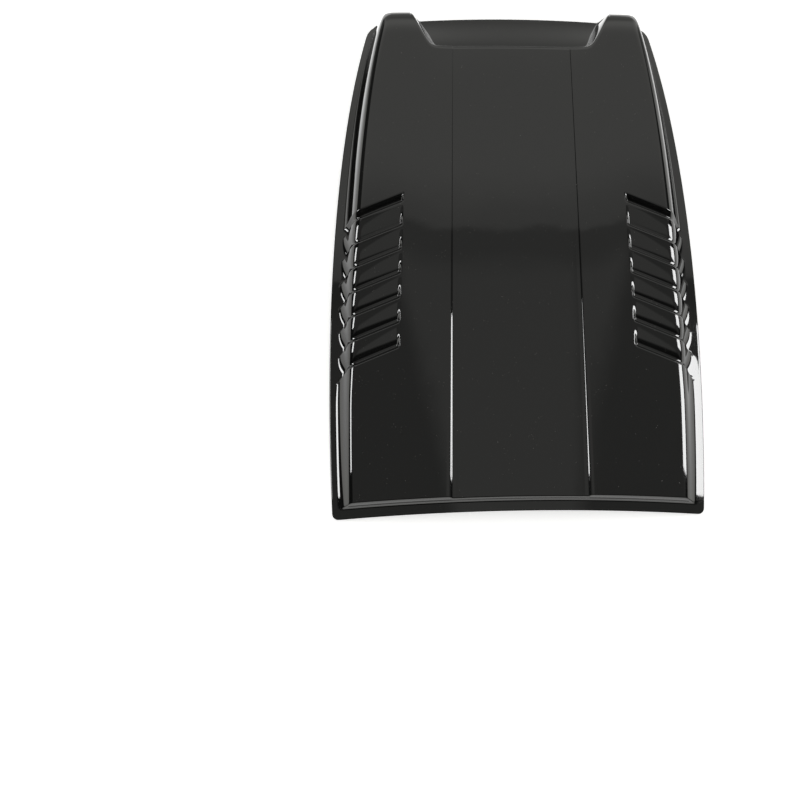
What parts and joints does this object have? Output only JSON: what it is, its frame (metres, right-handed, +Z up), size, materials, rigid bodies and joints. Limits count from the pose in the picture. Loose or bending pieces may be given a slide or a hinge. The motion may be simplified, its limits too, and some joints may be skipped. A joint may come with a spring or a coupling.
{
  "type": "bonnet scoop",
  "caption": "Wedge-shaped gloss-black scoop that bonds onto a car bonnet, with an open mouth between two horns at the front, two creases along the top and slanted louvres down each side.",
  "frame": {"origin": "middle of the bounding box in plan, at the height of the lowest points of the rim", "axes": "+Y runs forward to the mouth and the horns, +X to the scoop's right-hand side seen from above with the mouth up, +Z up, away from the bonnet"},
  "size_m": [0.721, 1.0198, 0.0743],
  "materials": {
    "gloss_black": "gloss"
  },
  "bodies": {
    "root": {"scoop_shell": "gloss_black"}
  },
  "joints": []
}
